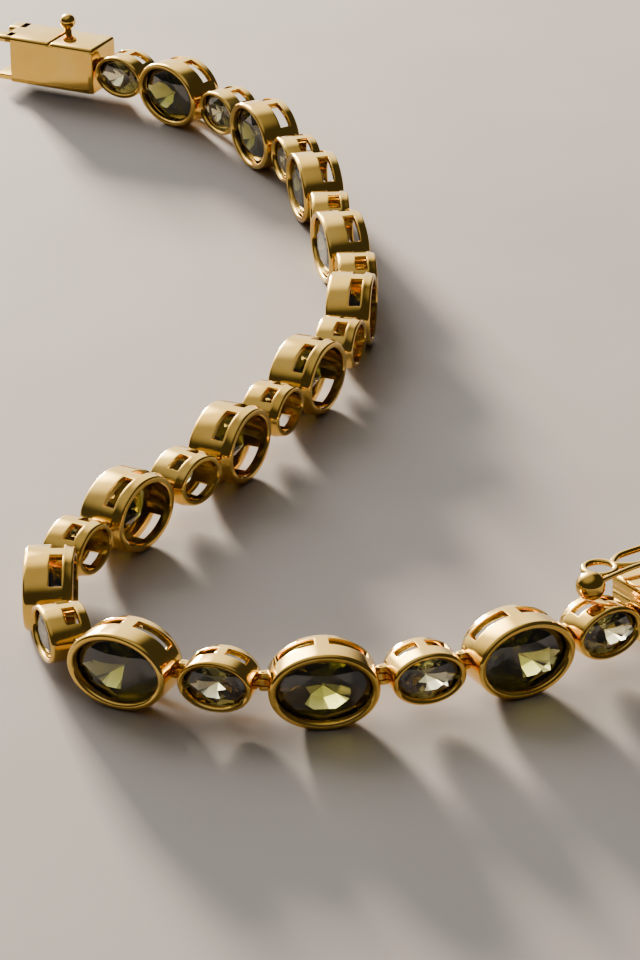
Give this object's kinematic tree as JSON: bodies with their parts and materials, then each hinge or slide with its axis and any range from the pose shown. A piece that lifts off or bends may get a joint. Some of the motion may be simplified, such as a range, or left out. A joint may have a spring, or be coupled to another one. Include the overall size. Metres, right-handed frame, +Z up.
{
  "type": "tennis bracelet",
  "caption": "Open tennis bracelet of bezel-set oval green stones, small and large by turns, in polished yellow gold, with box clasp, thumb lever and figure-8 safety.",
  "frame": {"origin": "middle of the bounding box's footprint, on the surface that the bracelet lies on", "axes": "+Z up from that surface; +Y away from the viewer along the lying chain's length, from the tongue's end to the clasp box; +X to the viewer's right"},
  "size_m": [0.0574, 0.128, 0.0068],
  "materials": {
    "gold": "polished yellow gold plate",
    "stone": "polished, faceted, transparent olive green"
  },
  "bodies": {
    "bracelet": {"tongue_block": "gold", "tongue_spring": "gold", "clasp_box": "gold", "setting_large_01": "gold", "setting_large_02": "gold", "setting_large_03": "gold", "setting_large_04": "gold", "setting_large_05": "gold", "setting_large_06": "gold", "setting_large_07": "gold", "setting_large_08": "gold", "setting_large_09": "gold", "setting_large_10": "gold", "setting_large_11": "gold", "setting_large_12": "gold", "setting_small_01": "gold", "setting_small_02": "gold", "setting_small_03": "gold", "setting_small_04": "gold", "setting_small_05": "gold", "setting_small_06": "gold", "setting_small_07": "gold", "setting_small_08": "gold", "setting_small_09": "gold", "setting_small_10": "gold", "setting_small_11": "gold", "setting_small_12": "gold", "setting_small_13": "gold", "stone_large_01": "stone", "stone_large_02": "stone", "stone_large_03": "stone", "stone_large_04": "stone", "stone_large_05": "stone", "stone_large_06": "stone", "stone_large_07": "stone", "stone_large_08": "stone", "stone_large_09": "stone", "stone_large_10": "stone", "stone_large_11": "stone", "stone_large_12": "stone", "stone_small_01": "stone", "stone_small_02": "stone", "stone_small_03": "stone", "stone_small_04": "stone", "stone_small_05": "stone", "stone_small_06": "stone", "stone_small_07": "stone", "stone_small_08": "stone", "stone_small_09": "stone", "stone_small_10": "stone", "stone_small_11": "stone", "stone_small_12": "stone", "stone_small_13": "stone"},
    "safety": {"safety_catch": "gold"}
  },
  "joints": [
    {"name": "safety_flip", "type": "hinge", "parent": "bracelet", "child": "safety", "pos_m": [0.02341, -0.04877, 0.00583], "axis": [-0.5432, 0.8396, 0], "range_deg": [0, 180]}
  ]
}
